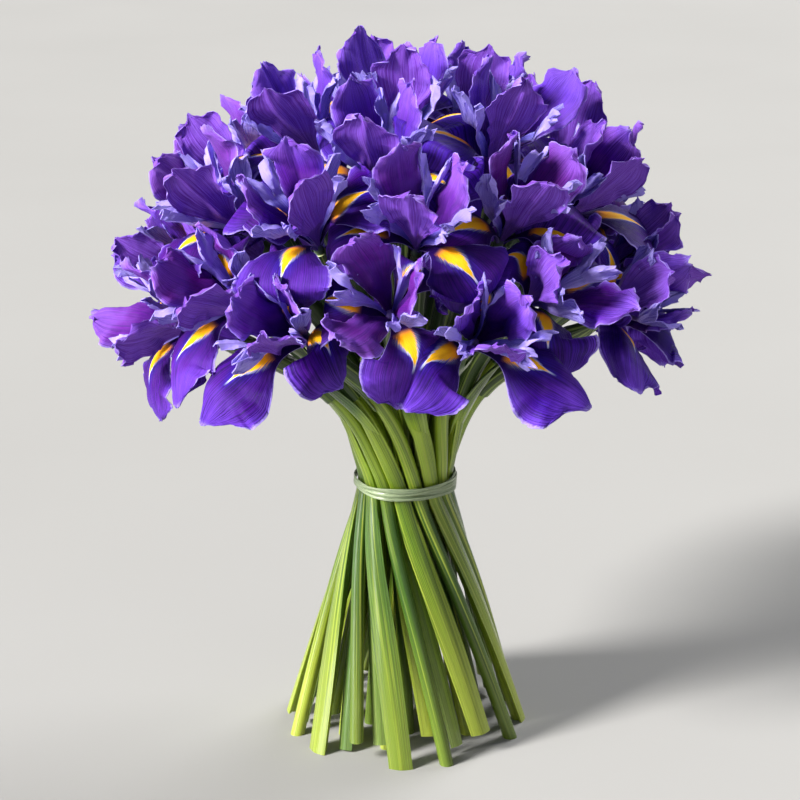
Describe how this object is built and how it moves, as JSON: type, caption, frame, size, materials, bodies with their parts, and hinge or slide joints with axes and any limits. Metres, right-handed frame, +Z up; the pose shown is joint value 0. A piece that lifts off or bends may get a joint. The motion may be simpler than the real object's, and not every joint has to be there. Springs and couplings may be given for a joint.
{
  "type": "hand-tied iris bunch",
  "caption": "Hand-tied spiral bunch of violet irises with yellow signals, stems splayed below a raffia tie so that it stands on its own.",
  "frame": {"origin": "middle of the middle stem's cut foot, on the surface that the bunch stands on", "axes": "+Z up along the bunch, -Y towards the side that the picture shows, +X to the right in it"},
  "size_m": [0.3414, 0.3352, 0.4026],
  "materials": {
    "petal": "soft matt petal",
    "stem": "waxy green stem and leaf",
    "tie": "dry raffia"
  },
  "bodies": {
    "root": {"bloom_01": "petal", "bloom_02": "petal", "bloom_03": "petal", "bloom_04": "petal", "bloom_05": "petal", "bloom_06": "petal", "bloom_07": "petal", "bloom_08": "petal", "bloom_09": "petal", "bloom_10": "petal", "bloom_11": "petal", "bloom_12": "petal", "bloom_13": "petal", "bloom_14": "petal", "bloom_15": "petal", "bloom_16": "petal", "bloom_17": "petal", "bloom_18": "petal", "bloom_19": "petal", "bloom_20": "petal", "bloom_21": "petal", "bloom_22": "petal", "bloom_23": "petal", "bloom_24": "petal", "bloom_25": "petal", "bloom_26": "petal", "bloom_27": "petal", "bloom_28": "petal", "bloom_29": "petal", "bloom_30": "petal", "bloom_31": "petal", "bloom_32": "petal", "stems_inner": "stem", "leafy_stem_01": "stem", "leafy_stem_03": "stem", "leafy_stem_05": "stem", "leafy_stem_07": "stem", "leafy_stem_09": "stem", "leafy_stem_11": "stem", "leafy_stem_13": "stem", "leafy_stem_15": "stem", "stem_02": "stem", "stem_04": "stem", "stem_06": "stem", "stem_08": "stem", "stem_10": "stem", "stem_12": "stem", "stem_14": "stem", "stem_16": "stem", "tie": "tie"}
  },
  "joints": []
}
